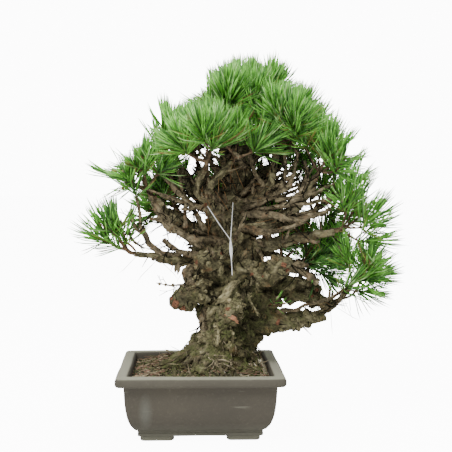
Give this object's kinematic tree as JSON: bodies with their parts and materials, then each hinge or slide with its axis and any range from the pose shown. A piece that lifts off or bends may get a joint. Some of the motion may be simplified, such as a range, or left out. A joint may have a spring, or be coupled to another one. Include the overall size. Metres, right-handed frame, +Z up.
{
  "type": "potted black pine bonsai",
  "caption": "Gnarled Japanese black pine bonsai with a corky leaning trunk, bare crooked boughs and tufts of long needles, planted in a low rectangular stoneware pot.",
  "frame": {"origin": "under the middle of the whole plant's box, at the level of the undersides of the pot's feet", "axes": "+Z up, +X to the right and -Y towards the viewer as the picture shows the plant; the pot's long side lies along X"},
  "size_m": [0.7456, 0.4946, 0.845],
  "materials": {
    "stoneware": "unglazed, matt, weathered",
    "soil": "rough, damp, mossy",
    "bark": "rough corky bark",
    "needles": "fresh green, slightly glossy"
  },
  "bodies": {
    "root": {"pot": "stoneware", "soil": "soil", "trunk": "bark", "bough_left_low": "bark", "bough_left_high": "bark", "bough_left_shoulder": "bark", "bough_left_front": "bark", "bough_crook": "bark", "bough_apex_left": "bark", "bough_apex_back": "bark", "bough_right_top": "bark", "bough_right_top_back": "bark", "bough_right_up": "bark", "bough_right_mid": "bark", "bough_right_mid_back": "bark", "bough_right_out": "bark", "bough_right_low": "bark", "bough_right_low_tip": "bark", "bough_right_low_back": "bark", "bough_back_low": "bark", "bough_back_mid": "bark", "bough_back_left": "bark", "bough_back_left_up": "bark", "bough_back_right_up": "bark", "bough_left_stub": "bark", "bough_left_knob": "bark", "bough_middle_stub": "bark", "bough_right_stub": "bark", "bough_right_fork": "bark", "needles_left_low": "needles", "needles_left_high": "needles", "needles_left_shoulder": "needles", "needles_left_front": "needles", "needles_crook": "needles", "needles_apex_left": "needles", "needles_apex": "needles", "needles_apex_back": "needles", "needles_right_top": "needles", "needles_right_top_back": "needles", "needles_right_up": "needles", "needles_right_mid": "needles", "needles_right_mid_back": "needles", "needles_right_out": "needles", "needles_right_low_tip": "needles", "needles_right_low_back": "needles", "needles_back_low": "needles", "needles_back_mid": "needles", "needles_back_left": "needles", "needles_back_left_up": "needles", "needles_back_right_up": "needles"}
  },
  "joints": []
}
